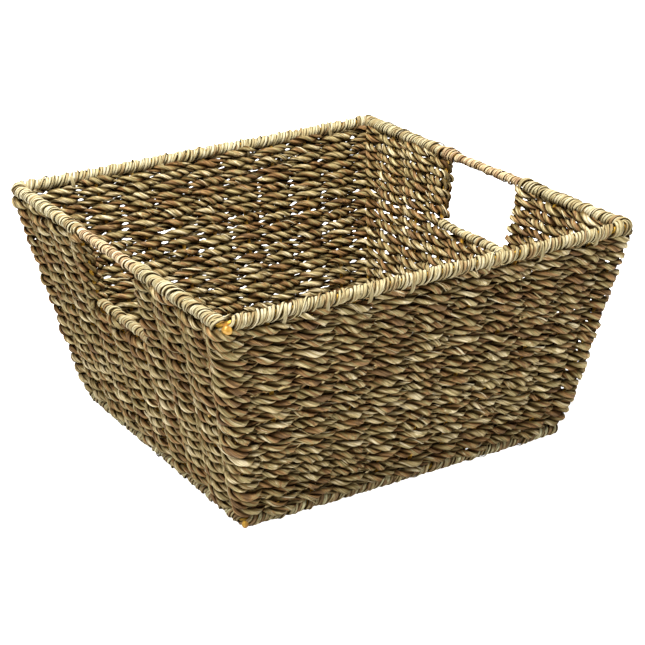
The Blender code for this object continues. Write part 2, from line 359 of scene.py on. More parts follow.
class Strands:
    """Closed tubes collected into one mesh, with the attributes that the materials read."""

    def __init__(self):
        self.points, self.faces = [], []
        self.grain, self.tone, self.shade = [], [], []
        self.count = 0

    def add(self, rings, along, around, tone, shade, closed=False):
        """rings is (number of rings, sides, 3). Each ring runs anticlockwise seen from the end."""
        rows, sides = rings.shape[:2]
        number = np.arange(rows * sides).reshape(rows, sides)
        beside = np.roll(number, -1, axis=1)
        if closed:
            onward = np.roll(number, -1, axis=0)
            onward_beside = np.roll(beside, -1, axis=0)
            faces = [np.stack([number, beside, onward_beside, onward], -1).reshape(-1, 4)]
        else:
            walls = np.stack([number[:-1], beside[:-1], beside[1:], number[1:]], -1)
            first = np.arange(sides // 2 - 1)
            cap = np.stack([first, first + 1, sides - 2 - first, sides - 1 - first], 1)
            faces = [walls.reshape(-1, 4), cap[:, ::-1], number[-1, 0] + cap]
        self.points.append(rings.reshape(-1, 3))
        self.faces.append(np.vstack(faces) + self.count)
        grain = np.empty((rows, sides, 3))
        grain[..., 0] = along[:, None]
        grain[..., 1] = np.cos(around)
        grain[..., 2] = np.sin(around)
        self.grain.append(grain.reshape(-1, 3))
        self.tone.append(np.broadcast_to(np.reshape(tone, (-1, 1)), (rows, sides)).ravel())
        self.shade.append(np.broadcast_to(shade, (rows, sides)).ravel())
        self.count += rows * sides

    def build(self, name, material, slot, *nodes):
        """One object, riding on the basket's body and standing for these CAD nodes."""
        points = np.vstack(self.points)
        faces = np.vstack(self.faces)
        mesh = bpy.data.meshes.new(name)
        mesh.vertices.add(len(points))
        mesh.vertices.foreach_set("co", points.astype(np.float32).ravel())
        mesh.loops.add(faces.size)
        mesh.loops.foreach_set("vertex_index", faces.astype(np.int32).ravel())
        mesh.polygons.add(len(faces))
        mesh.polygons.foreach_set("loop_start", np.arange(0, faces.size, 4, dtype=np.int32))
        mesh.update(calc_edges=True)
        for label, kind, key, values in (
            ("grain", "FLOAT_VECTOR", "vector", self.grain),
            ("tone", "FLOAT", "value", self.tone),
            ("shade", "FLOAT", "value", self.shade),
        ):
            layer = mesh.attributes.new(label, kind, "POINT")
            layer.data.foreach_set(key, np.concatenate(values).astype(np.float32).ravel())
        mesh.shade_smooth()
        mesh.materials.append(MATERIALS[material])
        made = bpy.data.objects.new(name, mesh)
        bpy.context.scene.collection.objects.link(made)
        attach(made, "root")
        if nodes:
            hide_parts(*nodes)


def axes_along(points, out, closed=False):
    """The way out and the third axis at every point of a path, square to the way on."""
    if closed:
        onward = np.roll(points, -1, axis=0) - np.roll(points, 1, axis=0)
    else:
        onward = np.gradient(points, axis=0)
    out = square_to(out, unit(onward))
    return out, np.cross(unit(onward), out)


def lay_rope(strands, points, out, squeeze, rng, closed=False, half=1.0):
    """Two plies twisted together along a path.

    squeeze is the rope's height at each point, as a share of its free height, and half is its
    thickness as a share of the usual one.
    """
    out, up = axes_along(points, out, closed)
    count = len(points)
    turned = np.cumsum(1 / np.maximum(0.6, 1 + uneven(count, TWIST_CHANGE, rng))) * STEP / LAY
    if closed:
        turned = turned * round(turned[-1]) / turned[-1]
    spin = 2 * math.pi * (turned + rng.random())
    bulk = half * (1 + uneven(count, BULK_CHANGE, rng))
    for ply in (0, 1):
        turn = spin + math.pi * ply + uneven(count, PLY_TURN_CHANGE, rng)
        size = 1 + uneven(count, PLY_SIZE_CHANGE, rng)
        size = bulk * (size + uneven(count, PLY_LUMP_CHANGE, rng))
        apart = bulk * PLY_APART * (1 + uneven(count, PLY_APART_CHANGE, rng))
        lay_ply(strands, points, out, up, turn, apart, size, squeeze, rng, closed)
    lay_loose_blades(strands, points, out, up, spin, bulk, squeeze, rng)


def lay_ply(strands, points, out, up, turn, apart, size, squeeze, rng, closed):
    """One ply of a rope: a bundle of blades with ridges.

    Its shade is how much light comes to a place: less in the cleft between the plies, in the
    valleys between blades, where two ropes cross and where the next row lies.
    """
    count = len(points)
    around = ring_angles(SIDES)
    drift = uneven(count, COARSE_RIDGE_CHANGE, rng)[:, None]
    blades = 1 + COARSE_RIDGE * np.cos(COARSE_RIDGES * around - drift)
    fine_drift = uneven(count, FINE_RIDGE_CHANGE, rng)[:, None]
    blades = blades + FINE_RIDGE * np.cos(FINE_RIDGES * around + fine_drift)
    away = apart[:, None] + size[:, None] * PLY_DEEP * np.cos(around) * blades
    aside = size[:, None] * PLY_WIDE * np.sin(around) * blades
    cos, sin = np.cos(turn)[:, None], np.sin(turn)[:, None]
    sideways = away * cos - aside * sin
    upward = (away * sin + aside * cos) * squeeze[:, None]
    rings = tube(points, out, sideways, up, upward)
    cleft = share(np.cos(around), 0.2, -0.55)
    valley = share(blades, 0.985, 0.915)
    crossing = share(squeeze[:, None], 1, 0.7)
    border = share(np.abs(upward) / (ROPE_HALF * squeeze[:, None]), 0.5, 0.92)
    shade = (1 - 0.92 * cleft) * (1 - 0.35 * crossing) * (1 - 0.45 * valley) * (1 - 0.75 * border)
    tone = rng.random() + uneven(count, PLY_TONE_CHANGE, rng)
    tone = tone + uneven(count, PLY_PATCH_CHANGE, rng)
    length = travelled_length(points) + rng.random() * 10
    strands.add(rings, length, around - drift / COARSE_RIDGES, tone, shade, closed)


def lay_loose_blades(strands, points, out, up, spin, bulk, squeeze, rng):
    """Single blades that have worked loose on the rope, with their ends standing off."""
    count = len(points)
    around = ring_angles(BLADE_SIDES)
    for _ in range(int(count * STEP / BLADE_SPACING)):
        rings_wanted = int(rng.integers(*BLADE_RINGS))
        start = int(rng.integers(0, max(1, count - rings_wanted)))
        chosen = slice(start, start + rings_wanted)
        size = len(points[chosen])
        along = np.linspace(-1, 1, size)
        lifts = STRAY_LIFT if rng.random() < STRAY_SHARE else BLADE_LIFT
        lift = rng.uniform(*lifts) * np.clip(along * rng.choice([-1, 1]), 0, 1) ** 3
        stand = bulk[chosen] * (ROPE_HALF - BLADE_SUNK) + lift
        ahead = spin[chosen] + rng.choice([0, math.pi]) + rng.normal(0, BLADE_SKEW)
        ahead = ahead + rng.normal(0, BLADE_SKEW) * along
        radial = out[chosen] * np.cos(ahead)[:, None]
        radial = radial + up[chosen] * (np.sin(ahead) * squeeze[chosen])[:, None]
        middle = points[chosen] + radial * stand[:, None]
        middle[:, 2] = np.maximum(middle[:, 2], LEAST_HEIGHT)
        onward = unit(np.gradient(middle, axis=0))
        across = unit(np.cross(onward, radial))
        face = np.cross(across, onward)
        taper = np.sqrt(np.clip(1 - along**2, 0.02, 1))[:, None]
        wide = rng.uniform(*BLADE_HALF_WIDE) * taper
        thin = BLADE_HALF_THICK * taper
        rings = tube(middle, face, thin * np.cos(around), across, wide * np.sin(around))
        tone = rng.normal(0.9, 0.8)
        grain = np.arange(size) * STEP + rng.random() * 10
        strands.add(rings, grain, around, tone, 1.0)


def weave_offset(turn, row):
    """Out at one post and in at the next, and the other way on the next row."""
    return np.cos(math.pi * (turn + row))


def near_corners(turn):
    """A column for each corner: 1 at the corner post, falling to 0 at the posts beside it."""
    gap = np.abs(np.mod(turn[:, None] - CORNERS[:-1] + POSTS / 2, POSTS) - POSTS / 2)
    return np.cos(np.clip(gap, 0, 1) * math.pi / 2) ** 2


def rope_path(turn, level, offset, rng, shared=0.0):
    """The rope's centreline in space, with the small unevenness of handwork.

    shared is a rise and fall that it has in common with the rows next to it. The lowest rows
    are tucked in at the corners, towards the base hoop.
    """
    count = len(turn)
    place, out = on_walls(turn, level)
    swing = offset * OUT * (1 + uneven(count, SWING_CHANGE, rng))
    bulge = LEAST_BULGE + CHANCE_BULGE * rng.random(len(WALLS))
    corners = near_corners(turn)
    swing = swing + np.maximum(offset, 0) * (corners @ bulge)
    swing = swing - TUCK * corners.sum(1) * np.clip(1 - level / LOW_ROWS, 0, 1)
    place = place + out * swing[:, None]
    place[:, 2] += uneven(count, LIFT_CHANGE, rng) + shared
    return place, out


def shared_rise(row, count):
    """A rise and fall along a row, which changes slowly from row to row."""
    group, part = divmod(row / ROWS_ALIKE, 1)
    below = uneven(count, SHARED_CHANGE, draws("shared", int(group)))
    above = uneven(count, SHARED_CHANGE, draws("shared", int(group) + 1))
    return below * (1 - part) + above * part


def crossing_squeeze(turn, offset, fullness, pitch):
    """Ropes have their full height at the posts, and share one row's height between them.

    Where they turn a corner on the outside they are taller still.
    """
    least = min(1.0, (pitch / 2 + PRESSED_IN) / ROPE_HALF)
    corner = near_corners(turn).sum(1) * np.maximum(offset, 0)
    height_share = least + (FULLEST - least) * fullness**FULLNESS_POWER
    return height_share * (1 + CORNER_PLUMP * corner)


def weave_levels():
    """Levels of the loops under the hand holes, and of the rows beside them."""
    end_slant = math.hypot(RISE, RIM_HALF_X - HOOP_HALF_X)
    under = SILL_LEVEL - (SILL_WRAP + HALF_ROW) / end_slant
    over = SILL_LEVEL + (SILL_WIRE + HALF_ROW) / end_slant
    lowest = (HOOP_WRAP + LOWEST_SHARE * HALF_ROW) / end_slant
    highest = 1 - (RIM_WRAP + HIGHEST_SHARE * HALF_ROW) / end_slant
    loops = np.linspace(lowest, under, LOOP_ROWS)
    panels = np.linspace(over, highest, PANEL_ROWS - 1)
    return loops, np.concatenate([[(under + over) / 2], panels])


LOOP_LEVELS, PANEL_LEVELS = weave_levels()


def make_loop_ropes():
    """The rows that go all round, each one ring, a few rings to a piece."""
    pitch = (LOOP_LEVELS[1] - LOOP_LEVELS[0]) * FRONT_SLANT
    turn = np.arange(POSTS * FINE) / FINE
    pieces = range(0, LOOP_ROWS, LOOPS_A_PIECE)
    for number, first in enumerate(pieces, 1):
        strands = Strands()
        for row in range(first, min(first + LOOPS_A_PIECE, LOOP_ROWS)):
            rng = draws("row", row)
            shared = shared_rise(row, len(turn))
            offset = weave_offset(turn, row)
            points, out = rope_path(turn, LOOP_LEVELS[row], offset, rng, shared)
            squeeze = crossing_squeeze(turn, offset, np.abs(offset), pitch)
            points, out, squeeze = resample(points, out, squeeze, closed=True)
            lay_rope(strands, points, out, squeeze, rng, closed=True)
        strands.build(f"loop_rope_{number}", "rope", "green_cord", "loop_cord_a", "loop_cord_b")


def lay_rope_in_pieces(name, slot, node, rope, rng, half=1.0):
    """One long rope, cut into pieces that are small enough for a mesh."""
    pieces = math.ceil(len(rope[0]) / MOST_RINGS)
    cuts = np.linspace(0, len(rope[0]), pieces + 1).astype(int)
    for number, (start, end) in enumerate(zip(cuts, cuts[1:]), 1):
        strands = Strands()
        points, out, squeeze = (part[start:end] for part in rope)
        lay_rope(strands, points, out, squeeze, rng, half=half)
        strands.build(f"{name}_{number}", "rope", slot, node)


def panel_path(first, last):
    """Turn, level, offset and fullness of one rope to and fro between two hand hole stakes."""
    turns, levels, offsets, fullness = [], [], [], []
    for step, level in enumerate(PANEL_LEVELS):
        row = LOOP_ROWS + step
        forward = step % 2 == 1
        turn = np.linspace(first, last, int((last - first) * FINE))
        if not forward:
            turn = turn[::-1]
        turns.append(turn)
        levels.append(np.full(len(turn), level))
        offsets.append(weave_offset(turn, row))
        fullness.append(np.abs(offsets[-1]))
        if step == len(PANEL_LEVELS) - 1:
            continue
        end = turn[-1]
        half = np.linspace(0, math.pi, FINE // 2 + 2)[1:-1]
        way = 1 if forward else -1
        turns.append(end + way * TURN_ROUND * np.sin(half))
        rise = PANEL_LEVELS[step + 1] - level
        levels.append(level + rise * (1 - np.cos(half)) / 2)
        offsets.append(weave_offset(np.array([end]), row) * np.cos(half))
        fullness.append(np.full(len(half), TURN_FULLNESS))
    return [np.concatenate(part) for part in (turns, levels, offsets, fullness)]


def make_panel_ropes():
    pitch = (PANEL_LEVELS[2] - PANEL_LEVELS[1]) * FRONT_SLANT
    for number, (name, (first, last)) in enumerate(PANEL_SPANS.items()):
        rng = draws("panel", number)
        turn, level, offset, fullness = panel_path(first, last)
        points, out = rope_path(turn, level, offset, rng)
        squeeze = crossing_squeeze(turn, offset, fullness, pitch)
        rope = resample(points, out, squeeze)
        lay_rope_in_pieces(f"{name}_panel_rope", "green_cord", f"{name}_panel_cord", rope, rng)


# ---- the floor ----

# Distance between the floor's rows, from the base hoop to the first row, and how far the rope
# swings over and under the wires. Its thickness is a share of the walls' rope, and its height
# has a least and what is added over a wire and where it turns back.
FLOOR_PITCH = 0.0045
FLOOR_EDGE = 0.0068
FLOOR_SWING = STAKE + 0.0012
FLOOR_HALF = 0.84
FLOOR_LEAST = 0.85
FLOOR_FULLER = 0.45
FLOOR_TURN_POINTS = 14


def floor_path(side, spacing):
    """X, Y and swing of one rope to and fro across the base, turning back at either side."""
    reach = HOOP_HALF_Y - FLOOR_EDGE
    rows = 1 + int(2 * reach / FLOOR_PITCH)
    pitch = 2 * reach / (rows - 1)
    x = np.linspace(-side, side, (len(WALL_SHARES) + 1) * FINE // 2)
    xs, ys, swings = [], [], []
    for row in range(rows):
        y = -reach + pitch * row
        swing = np.cos(math.pi * (x / spacing + row))
        swing = swing * share(side - np.abs(x), 0, spacing / 2)
        way = 1 if row % 2 == 0 else -1
        xs.append(x[::way])
        ys.append(np.full(len(x), y))
        swings.append(swing[::way])
        if row < rows - 1:
            half = np.linspace(0, math.pi, FLOOR_TURN_POINTS)[1:-1]
            xs.append(way * (side + pitch / 2 * np.sin(half)))
            ys.append(y + pitch * (1 - np.cos(half)) / 2)
            swings.append(np.zeros(len(half)))
    return [np.concatenate(part) for part in (xs, ys, swings)]


def make_floor_rope():
    """One rope over one cross wire and under the next, the other way on the next row."""
    rng = draws("floor")
    side = HOOP_HALF_X - HOOP_WRAP - ROPE_HALF / 2
    spacing = HOOP_HALF_X * (WALL_SHARES[1] - WALL_SHARES[0])
    x, y, swing = floor_path(side, spacing)
    y = y + uneven(len(y), FLOOR_CHANGE, rng)
    wire_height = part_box(MIDDLE_WIRE[0])[0].z + STAKE
    points = np.stack([x, y, wire_height + FLOOR_SWING * swing], 1)
    out = np.tile([0.0, 0.0, 1.0], (len(points), 1))
    near_end = 1 - share(side - np.abs(x), 0, spacing / 2)
    squeeze = FLOOR_LEAST + FLOOR_FULLER * np.maximum(np.abs(swing), near_end)
    rope = resample(points, out, squeeze)
    lay_rope_in_pieces("floor_rope", "brown_cord", "floor_cord", rope, rng, FLOOR_HALF)


# ---- the windings ----

# A winding: length of a whole turn, bundles side by side in it, thickness of a bundle, and how
# much of its share of the length it fills.
RIM_BUNDLE = (0.0114, 4, 0.0019, 0.94)
RIM_LOOSE = (0.0190, 2, 0.0009, 0.17)
GRIP_BUNDLE = (0.0085, 3, 0.0010, 0.94)
HOOP_BUNDLE = (0.0130, 4, 0.0019, 0.90)
HOOP_LOOSE = (0.0220, 2, 0.0009, 0.16)
SILL_BUNDLE = (0.0100, 3, 0.0019, 0.92)

# How far a bundle drifts along the wire, as a share of the bundles' pitch, and off it.
DRIFT = 0.16
LIFT_OFF = 0.0005

# Room between a wire and its winding.
CLEAR = 0.0003

# How high over the floor a bundle's middle stays, in half thicknesses.
PRESSED = 1.3


def wind(strands, points, out, wire, rng, bundle, gaps=(), thicker=None):
    """Bundles of blades wound side by side round a wire. gaps are (place, bare length) pairs."""
    lead, bundles, thick, fill = bundle
    pitch = lead / bundles
    length = travelled_length(points)
    per_turn = max(WRAP_SIDES, int(math.hypot(2 * math.pi * (wire + thick), lead) / STEP))
    turns = (length[-1] - pitch) / lead
    phase = np.arange(int(turns * per_turn)) / per_turn
    widths = rng.uniform(0.8, 1.2, bundles)
    widths = widths * lead / widths.sum()
    for number, width in enumerate(widths):
        middle = phase * lead + widths[:number].sum() + width / 2
        middle = middle + pitch * DRIFT * wander(len(phase), per_turn * 0.5, rng)
        high = LIFT_OFF * wander(len(phase), per_turn * 0.6, rng)
        for place, bare in gaps:
            middle = middle + bare / 2 * np.tanh((middle - place) / (pitch / 3))
        stand = wire + thick / 2 + CLEAR + high
        if thicker is not None:
            stand = stand + thicker(middle)
        wind_blade(strands, points, out, middle, phase, stand, (width * fill / 2, thick), rng)


def wind_blade(strands, points, out, spot, phase, stand, section, rng):
    """One bundle of a winding: its places along the wire, turns round it, distances from it.

    Where it passes under the base hoop it is pressed up by the floor.
    """
    count = len(phase)
    half_wide, thick = section
    length = travelled_length(points)
    spot = np.clip(spot, 0, length[-1])
    centre = along_path(spot, length, points)
    outward = along_path(spot, length, out)
    onward = unit(along_path(spot, length, unit(np.gradient(points, axis=0))))
    outward = square_to(outward, onward)
    up = np.cross(outward, onward)
    angle = 2 * math.pi * phase
    radial = outward * np.cos(angle)[:, None] + up * np.sin(angle)[:, None]
    half_thick = thick / 2 * (1 + uneven(count, BUNDLE_THICK_CHANGE, rng))
    half_wide = half_wide * (1 + uneven(count, BUNDLE_WIDE_CHANGE, rng))
    middle = centre + radial * (stand + uneven(count, BUNDLE_STAND_CHANGE, rng))[:, None]
    middle[:, 2] = np.maximum(middle[:, 2], PRESSED * half_thick)
    along = unit(np.gradient(middle, axis=0))
    radial = square_to(radial, along)
    around = ring_angles(WRAP_SIDES)
    ridge_drift = uneven(count, BUNDLE_RIDGE_CHANGE, rng)[:, None]
    ridges = 1 + FINE_RIDGE * np.cos(FINE_RIDGES * around + ridge_drift)
    outward_part = half_thick[:, None] * np.cos(around) * ridges
    wide_part = half_wide[:, None] * np.sin(around) * ridges
    rings = tube(middle, radial, outward_part, np.cross(along, radial), wide_part)
    # Painted shade: darker at the bundle's edges, where it meets the next bundle, and on its side
    # towards the wire.
    border = share(np.abs(np.sin(around)), 0.5, 0.95)
    under = share(np.cos(around), 0.2, -0.4)
    shade = (1 - 0.85 * border) * (1 - 0.6 * under)
    tone = rng.random() + uneven(count, BUNDLE_TONE_CHANGE, rng)
    strands.add(rings, travelled_length(middle) + rng.random() * 10, around, tone, shade)


def hoop_path(level, first, last):
    """A hoop's centreline from one turn to another, at even steps."""
    turn = np.linspace(first, last, int(abs(last - first) * FINE))
    points, out = on_walls(turn, level)
    flat = out.copy()
    flat[:, 2] = 0
    return resample(points, unit(flat))


def swelling(places, extra, spread):
    """Extra thickness of a winding round these places along it."""

    def thicker(spot):
        return extra * sum(np.exp(-(((spot - place) / spread) ** 2)) for place in places)

    return thicker


# Where the gold wire shows through the rim's windings: how many small bare spots each has, as
# which shares of its length and how long, and the place and length of a larger one.
BARE_SPOTS = 9
BARE_SHARES = (0.12, 0.88)
BARE_LENGTH = (0.0006, 0.0014)
LARGE_BARE = {"front": (RIM_END, 0.0042), "back": (0.0035, 0.0030)}

# A winding is thicker near its ends and at corners: by how much, and over which length.
RIM_SWELL = (0.0010, 0.012)
GRIP_SWELL = (0.0018, 0.010)
SILL_SWELL = (0.0006, 0.008)
SWELL_FROM_END = 0.004


def rim_gaps(name, length, rng):
    gaps = []
    for _ in range(BARE_SPOTS):
        place = length * rng.uniform(*BARE_SHARES)
        gaps.append((place, rng.uniform(*BARE_LENGTH)))
    return [*gaps, LARGE_BARE[name]]


def make_rim_windings():
    for number, (name, (first, last)) in enumerate(PANEL_SPANS.items()):
        rng = draws("rim", number)
        points, out = hoop_path(1.0, first, last)
        length = travelled_length(points)[-1]
        strands = Strands()
        gaps = rim_gaps(name, length, rng)
        places = [RIM_END, length - RIM_END]
        if name == "front":
            places += [SWELL_FROM_END, length - SWELL_FROM_END]
        bulge = swelling(places, *RIM_SWELL)
        wind(strands, points, out, RIM_WIRE, rng, RIM_BUNDLE, gaps, bulge)
        wind(strands, points, out, RIM_WIRE + 0.8 * RIM_BUNDLE[2], rng, RIM_LOOSE, gaps, bulge)
        strands.build(f"{name}_rim_winding", f"{name}_pale", "pale_wrap", f"{name}_rim_wrap")


# Turns, from the wall's first corner, at which a strand ties the rim to the top row.
FRONT_TIES = (1.33, 2.3, 3.32, 4.33, 6.2, 7.6, 9.05)
BACK_TIES = (1.28, 3.75, 6.2, 8.62)

# A tie: how far its middle is under the rim's, its half height and half depth, its strand's
# half width and half thickness, and how far aside its two turns are, in half widths.
TIE_DROP = 0.0030
TIE_HIGH = 0.0068
TIE_DEEP = 0.0048
TIE_HALF_WIDE = 0.00100
TIE_HALF_THICK = 0.0005
TIE_ASIDE = (-0.6, 0.7)


def lay_tie(strands, turn, rng):
    """One strand from the rim's winding down round the top row and up again, twice."""
    spot, out = on_walls(np.array([turn, turn + 0.01]), 1.0)
    onward = unit(spot[1] - spot[0])
    out = out[0]
    up = unit(np.cross(out, onward))
    around = ring_angles(WRAP_SIDES)
    angle = np.arange(0, 2 * math.pi, STEP / TIE_HIGH)[:, None]
    for aside in TIE_ASIDE:
        radial = up * np.cos(angle) + out * np.sin(angle)
        middle = spot[0] + up * (TIE_HIGH * np.cos(angle) - TIE_DROP)
        middle = middle + out * TIE_DEEP * np.sin(angle)
        lean = aside * TIE_HALF_WIDE + rng.uniform(0.0002, 0.0012) * np.cos(angle)
        middle = middle + onward * lean
        along = unit(np.roll(middle, -1, axis=0) - np.roll(middle, 1, axis=0))
        radial = square_to(radial, along)
        thick = TIE_HALF_THICK * np.cos(around)
        wide = TIE_HALF_WIDE * np.sin(around)
        rings = tube(middle, radial, thick, np.cross(along, radial), wide)
        # Painted shade: darker towards the strand's edges, and the whole strand a little darker.
        shade = 1 - 0.5 * np.abs(np.sin(around)) ** 3
        grain = np.arange(len(angle)) * STEP + rng.random() * 10
        strands.add(rings, grain, around, 0.2 + 0.6 * rng.random(), 0.85 * shade, closed=True)


def make_rim_ties():
    rng = draws("tie")
    strands = Strands()
    for corner, ties in ((FRONT_LEFT, FRONT_TIES), (0, BACK_TIES)):
        for tie in ties:
            lay_tie(strands, corner + tie, rng)
    strands.build("rim_ties", "front_pale", "pale_wrap")


# A weld bead: its rings and their corners, the angle that its flat tips leave out, and its
# lumps' height and how many there are to a metre.
BEAD_RINGS = 14
BEAD_SIDES = 24
BEAD_TIP = 0.12
BEAD_LUMP = 0.16
BEAD_LUMPS = 330

# Each bead: name, turn, level, distance out of the wall and up from the wire, and half sizes.
BEADS = (
    ("rim_weld_bead", FRONT_LEFT + 0.075, 1.0, 0.0046, -0.0008, (0.0034, 0.0034, 0.0031)),
    ("base_weld_bead", FRONT_LEFT, 0.0, 0.0042, 0.0, (0.0024, 0.0024, 0.0028)),
)


def make_weld_bead(name, middle, half):
    """A blob of weld metal under the frame's lacquer."""
    strands = Strands()
    across = np.linspace(BEAD_TIP, math.pi - BEAD_TIP, BEAD_RINGS)[:, None]
    around = ring_angles(BEAD_SIDES)
    x = np.sin(across) * np.cos(around) * half[0]
    y = np.sin(across) * np.sin(around) * half[1]
    z = -np.cos(across) * half[2] + 0 * around
    rings = np.stack([x, y, z], -1)
    lumps = [[1 + BEAD_LUMP * noise.noise(Vector(p) * BEAD_LUMPS) for p in ring] for ring in rings]
    rings = np.array(middle) + rings * np.array(lumps)[..., None]
    strands.add(rings, np.zeros(len(across)), around, 0.5, 1.0)
    strands.build(name, "weld", "gold_wire")


def make_weld_beads():
    """The two weld blobs that the windings leave bare, at the front left corner."""
    for name, turn, level, outward, upward, half in BEADS:
        places, outs = on_walls(np.array([turn]), level)
        middle = places[0] + outs[0] * outward + np.array([0, 0, upward])
        make_weld_bead(name, middle, half)


def make_grip_windings():
    for number, (name, (first, last)) in enumerate(HOLE_SPANS.items()):
        rng = draws("grip", number)
        points, out = hoop_path(1.0, first, last)
        strands = Strands()
        bulge = None
        if name == "right":
            places = (travelled_length(points)[-1] - SWELL_FROM_END,)
            bulge = swelling(places, *GRIP_SWELL)
        wind(strands, points, out, RIM_WIRE, rng, GRIP_BUNDLE, (), bulge)
        strands.build(f"{name}_grip_winding", "tan", "tan_wrap", f"{name}_grip_wrap")


# How many posts a sill's winding ends before the stakes, to stay clear of them.
SILL_SHORT = 0.06


def make_sill_windings():
    for number, (name, (first, last)) in enumerate(HOLE_SPANS.items()):
        rng = draws("sill", number)
        points, out = hoop_path(SILL_LEVEL, first + SILL_SHORT, last - SILL_SHORT)
        length = travelled_length(points)[-1]
        strands = Strands()
        bulge = swelling((0.0, length), *SILL_SWELL)
        wind(strands, points, out, SILL_WIRE, rng, SILL_BUNDLE, (), bulge)
        strands.build(f"{name}_sill_winding", "sill", "pale_wrap", f"{name}_sill_wrap")


# Where the base hoop shows: shares of a winding's length, and the bare length.
BASE_BARE_AT = (0.53, 0.25)
BASE_BARE = 0.003


def make_base_windings():
    """Each of the two windings goes from the middle of one end wall to that of the other."""
    side_middle = {"front": FRONT_LEFT - (len(END_SHARES) + 1) / 2}
    side_middle["back"] = side_middle["front"] + POSTS / 2
    for number, (name, first) in enumerate(side_middle.items()):
        rng = draws("base", number)
        points, out = hoop_path(0.0, first, first + POSTS / 2)
        length = travelled_length(points)[-1]
        strands = Strands()
        gaps = [(length * place, BASE_BARE) for place in BASE_BARE_AT]
        wind(strands, points, out, HOOP_WIRE, rng, HOOP_BUNDLE, gaps)
        wind(strands, points, out, HOOP_WIRE + 0.7 * HOOP_BUNDLE[2], rng, HOOP_LOOSE, gaps)
        strands.build(f"{name}_base_winding", "tan_green", "tan_wrap", f"{name}_base_wrap")


# ---- materials ----


class Nodes:
    """A short way to write a material's nodes."""

    def __init__(self, name):
        self.material = bpy.data.materials.new(name)
        self.material.use_nodes = True
        self.tree = self.material.node_tree
        self.shader = self.tree.nodes["Principled BSDF"]

    def put(self, value, socket):
        if isinstance(value, bpy.types.NodeSocket):
            self.tree.links.new(value, socket)
        else:
            socket.default_value = value

    def attribute(self, name, output="Fac"):
        node = self.tree.nodes.new("ShaderNodeAttribute")
        node.attribute_name = name
        return node.outputs[output]

    def maths(self, kind, first, second=0.0):
        node = self.tree.nodes.new("ShaderNodeMath")
        node.operation = kind
        self.put(first, node.inputs[0])
        self.put(second, node.inputs[1])
        return node.outputs[0]

    def stretch(self, vector, scale, shift=0.0):
        """The vector times scale, with its first part moved by shift."""
        times = self.tree.nodes.new("ShaderNodeVectorMath")
        times.operation = "MULTIPLY"
        self.put(vector, times.inputs[0])
        times.inputs[1].default_value = scale
        move = self.tree.nodes.new("ShaderNodeCombineXYZ")
        self.put(shift, move.inputs[0])
        plus = self.tree.nodes.new("ShaderNodeVectorMath")
        plus.operation = "ADD"
        self.put(times.outputs[0], plus.inputs[0])
        self.put(move.outputs[0], plus.inputs[1])
        return plus.outputs[0]

    def noise(self, vector, scale=1.0, detail=2.0, rough=0.5):
        node = self.tree.nodes.new("ShaderNodeTexNoise")
        self.put(vector, node.inputs["Vector"])
        node.inputs["Scale"].default_value = scale
        node.inputs["Detail"].default_value = detail
        node.inputs["Roughness"].default_value = rough
        return node.outputs["Fac"]

    def spread(self, value, low, high, to_low, to_high):
        """value from low..high to to_low..to_high, held at the ends."""
        node = self.tree.nodes.new("ShaderNodeMapRange")
        self.put(value, node.inputs["Value"])
        node.inputs["From Min"].default_value = low
        node.inputs["From Max"].default_value = high
        node.inputs["To Min"].default_value = to_low
        node.inputs["To Max"].default_value = to_high
        return node.outputs[0]

    def ramp(self, value, stops):
        node = self.tree.nodes.new("ShaderNodeValToRGB")
        self.put(value, node.inputs[0])
        ramp = node.color_ramp
        while len(ramp.elements) < len(stops):
            ramp.elements.new(0.5)
        for element, (place, colour) in zip(ramp.elements, stops):
            element.position = place
            element.color = (*colour, 1.0)
        return node.outputs[0]

    def tinted(self, colour, light, powers=(1.0, 1.0, 1.0)):
        """The colour times light, with light raised to a power of its own in each channel."""
        channels = self.tree.nodes.new("ShaderNodeCombineXYZ")
        for number, power in enumerate(powers):
            self.put(self.maths("POWER", light, power), channels.inputs[number])
        times = self.tree.nodes.new("ShaderNodeVectorMath")
        times.operation = "MULTIPLY"
        self.put(colour, times.inputs[0])
        self.put(channels.outputs[0], times.inputs[1])
        return times.outputs[0]

    def bump(self, value, strength, distance):
        node = self.tree.nodes.new("ShaderNodeBump")
        self.put(value, node.inputs["Height"])
        node.inputs["Strength"].default_value = strength
        node.inputs["Distance"].default_value = distance
        self.put(node.outputs[0], self.shader.inputs["Normal"])

    def finish(self, **values):
        for label, value in values.items():
            self.put(value, self.shader.inputs[label.replace("_", " ")])
        return self.material


# How fine a strand's patches of colour, streaks and flecks are: along it to a metre, and round it.
PATCHES = (60.0, 0.7, 0.7)
STREAKS = (70.0, 5.5, 5.5)
FLECKS = (520.0, 4.0, 4.0)

# How fast red, green and blue fade as the light factor does, painted shade included: darker places
# are painted warmer, lighter ones greyer.
FADING = (1.0, 1.12, 1.34)


